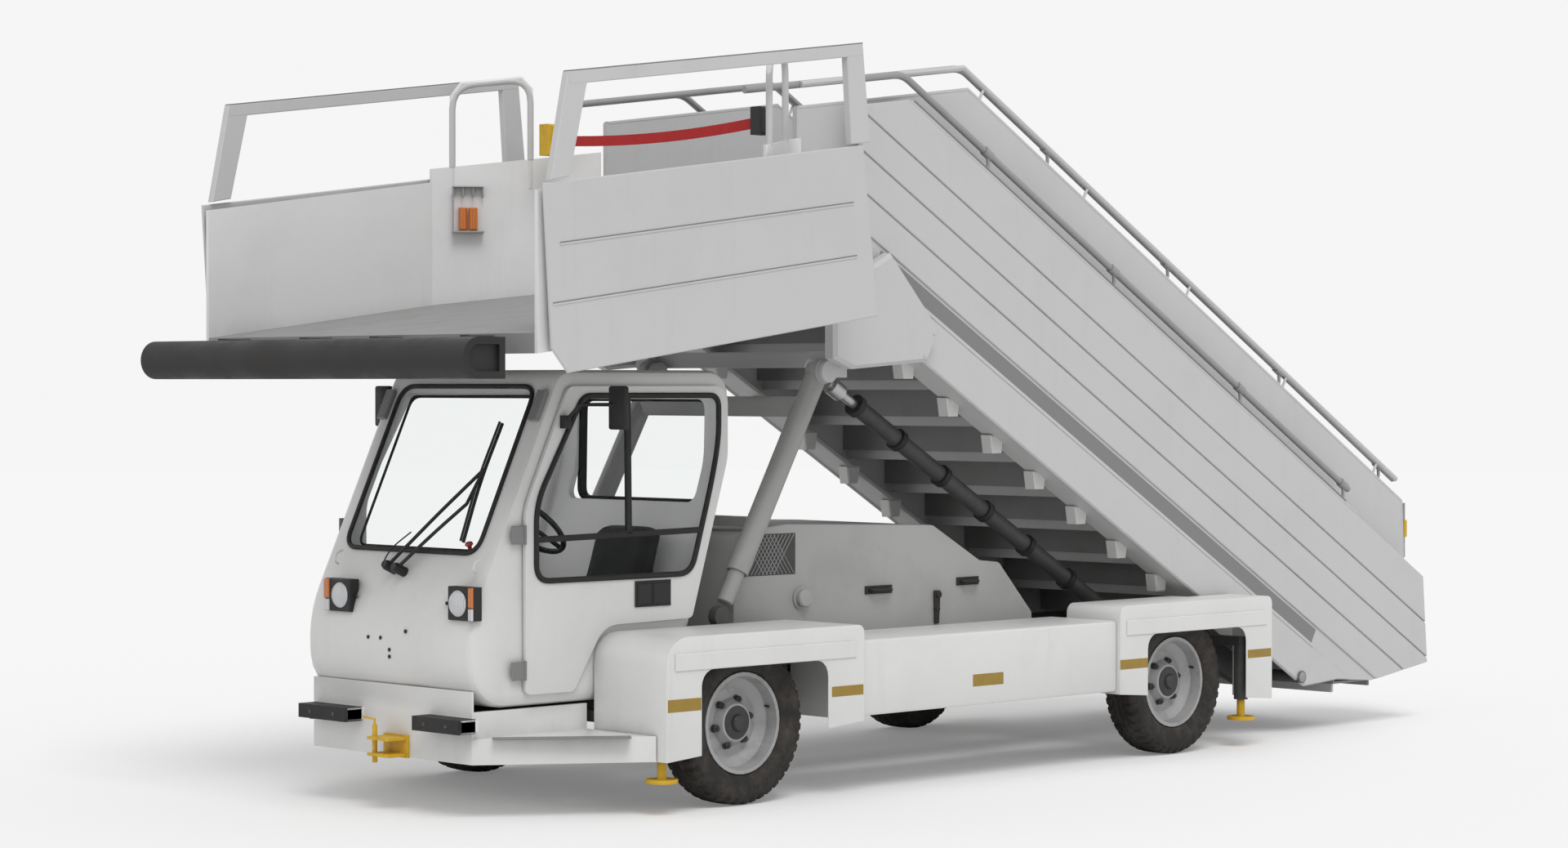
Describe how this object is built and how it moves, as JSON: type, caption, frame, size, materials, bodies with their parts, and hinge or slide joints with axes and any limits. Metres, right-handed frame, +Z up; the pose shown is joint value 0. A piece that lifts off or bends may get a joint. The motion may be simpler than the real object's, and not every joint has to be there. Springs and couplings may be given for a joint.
{
  "type": "mobile aircraft passenger stairs",
  "caption": "Self-propelled passenger stairs with a one-person cab, two nested flights on a lift frame and a railed platform with a rubber front bumper.",
  "frame": {"origin": "centre of the whole vehicle on the ground", "axes": "-X is the cab end and driving direction, -Y is the driver's left, +Z up"},
  "size_m": [7.579, 2.586, 3.609],
  "materials": {
    "white_paint": "satin",
    "grey_paint": "satin",
    "dark_steel": "matte",
    "tyre_rubber": "matte",
    "rubber": "matte",
    "cloth": "matte",
    "glass": "gloss",
    "yellow_paint": "satin",
    "belt_red": "matte",
    "plated_steel": "satin"
  },
  "bodies": {
    "vehicle": {"chassis_frame": "dark_steel", "front_body": "white_paint", "tow_hitch": "yellow_paint", "cab_shell": "white_paint", "windscreen": "glass", "rear_window": "glass", "dashboard": "grey_paint", "steering_wheel": "rubber", "seat_cushion": "cloth", "seat_back": "cloth", "left_front_fender": "white_paint", "right_front_fender": "white_paint", "left_rear_fender": "white_paint", "right_rear_fender": "white_paint", "left_skirt": "white_paint", "right_skirt": "white_paint", "engine_hood": "grey_paint", "engine_block": "dark_steel", "front_axle": "dark_steel", "rear_axle": "dark_steel", "left_lift_cylinder": "grey_paint", "right_lift_cylinder": "grey_paint"},
    "left_door": {"left_door": "white_paint", "left_door_glass": "glass"},
    "left_knuckle": {"left_knuckle": "dark_steel"},
    "left_front_wheel": {"left_front_tyre": "tyre_rubber", "left_front_rim": "grey_paint"},
    "left_rear_wheel": {"left_rear_tyre": "tyre_rubber", "left_rear_rim": "grey_paint"},
    "left_front_jack": {"left_front_jack": "yellow_paint"},
    "left_rear_jack": {"left_rear_jack": "yellow_paint"},
    "right_door": {"right_door": "white_paint", "right_door_glass": "glass"},
    "right_knuckle": {"right_knuckle": "dark_steel"},
    "right_front_wheel": {"right_front_tyre": "tyre_rubber", "right_front_rim": "grey_paint"},
    "right_rear_wheel": {"right_rear_tyre": "tyre_rubber", "right_rear_rim": "grey_paint"},
    "right_front_jack": {"right_front_jack": "yellow_paint"},
    "right_rear_jack": {"right_rear_jack": "yellow_paint"},
    "lower_flight": {"lower_flight_left_side": "white_paint", "lower_flight_right_side": "white_paint", "lower_flight_steps": "grey_paint", "lower_flight_head_beam": "white_paint", "extension_cylinder": "dark_steel"},
    "upper_flight": {"upper_flight_left_side": "white_paint", "upper_flight_right_side": "white_paint", "upper_flight_steps": "grey_paint", "platform_deck": "grey_paint", "platform_bumper": "rubber", "platform_left_wall": "white_paint", "platform_right_wall": "white_paint", "gate_belt": "belt_red"},
    "platform_left_screen": {"platform_left_screen": "white_paint"},
    "platform_right_screen": {"platform_right_screen": "white_paint"},
    "extension_rod": {"extension_rod": "plated_steel"},
    "lift_frame": {"lift_frame": "grey_paint"}
  },
  "joints": [
    {"name": "left_door_hinge", "type": "hinge", "parent": "vehicle", "child": "left_door", "pos_m": [-2.9615, -0.646, 1.2], "axis": [0, 0, -1], "range_deg": [0, 85]},
    {"name": "left_steering", "type": "hinge", "parent": "vehicle", "child": "left_knuckle", "pos_m": [-1.9555, -0.91, 0.385], "axis": [0, 0, 1], "range_deg": [-24, 24]},
    {"name": "left_front_wheel_roll", "type": "hinge", "parent": "left_knuckle", "child": "left_front_wheel", "pos_m": [-1.9555, -0.947, 0.385], "axis": [0, 1, 0], "continuous": true},
    {"name": "left_rear_wheel_roll", "type": "hinge", "parent": "vehicle", "child": "left_rear_wheel", "pos_m": [1.2245, -0.947, 0.385], "axis": [0, 1, 0], "continuous": true},
    {"name": "left_front_jack_screw", "type": "slide", "parent": "vehicle", "child": "left_front_jack", "axis": [0, 0, -1], "range_m": [0, 0.149]},
    {"name": "left_rear_jack_screw", "type": "slide", "parent": "vehicle", "child": "left_rear_jack", "axis": [0, 0, -1], "range_m": [0, 0.149]},
    {"name": "right_door_hinge", "type": "hinge", "parent": "vehicle", "child": "right_door", "pos_m": [-2.9615, 0.646, 1.2], "axis": [0, 0, 1], "range_deg": [0, 85]},
    {"name": "right_steering", "type": "hinge", "parent": "vehicle", "child": "right_knuckle", "pos_m": [-1.9555, 0.91, 0.385], "axis": [0, 0, 1], "range_deg": [-24, 24]},
    {"name": "right_front_wheel_roll", "type": "hinge", "parent": "right_knuckle", "child": "right_front_wheel", "pos_m": [-1.9555, 0.947, 0.385], "axis": [0, 1, 0], "continuous": true},
    {"name": "right_rear_wheel_roll", "type": "hinge", "parent": "vehicle", "child": "right_rear_wheel", "pos_m": [1.2245, 0.947, 0.385], "axis": [0, 1, 0], "continuous": true},
    {"name": "right_front_jack_screw", "type": "slide", "parent": "vehicle", "child": "right_front_jack", "axis": [0, 0, -1], "range_m": [0, 0.149]},
    {"name": "right_rear_jack_screw", "type": "slide", "parent": "vehicle", "child": "right_rear_jack", "axis": [0, 0, -1], "range_m": [0, 0.149]},
    {"name": "lower_flight_pitch", "type": "hinge", "parent": "vehicle", "child": "lower_flight", "pos_m": [2.5645, 0, 0.32], "axis": [0, 1, 0], "range_deg": [0, 12]},
    {"name": "upper_flight_extension", "type": "slide", "parent": "lower_flight", "child": "upper_flight", "axis": [-0.8652, 0, 0.5015], "range_m": [0, 2.9]},
    {"name": "platform_left_screen_slide", "type": "slide", "parent": "upper_flight", "child": "platform_left_screen", "axis": [-0.9914, 0, -0.1305], "range_m": [0, 0.35]},
    {"name": "platform_right_screen_slide", "type": "slide", "parent": "upper_flight", "child": "platform_right_screen", "axis": [-0.9914, 0, -0.1305], "range_m": [0, 0.35]},
    {"name": "extension_rod_slide", "type": "slide", "parent": "lower_flight", "child": "extension_rod", "axis": [-0.8652, 0, 0.5015], "range_m": [0, 1.45]},
    {"name": "lift_slide", "type": "slide", "parent": "vehicle", "child": "lift_frame", "axis": [0.4934, 0, 0.8698], "range_m": [0, 0.84]}
  ],
  "couplings": [
    {"joint": "right_steering", "follows": "left_steering", "ratio": 1},
    {"joint": "extension_rod_slide", "follows": "upper_flight_extension", "ratio": 0.5},
    {"joint": "lift_slide", "follows": "lower_flight_pitch", "m_per_rad": 3.988}
  ]
}
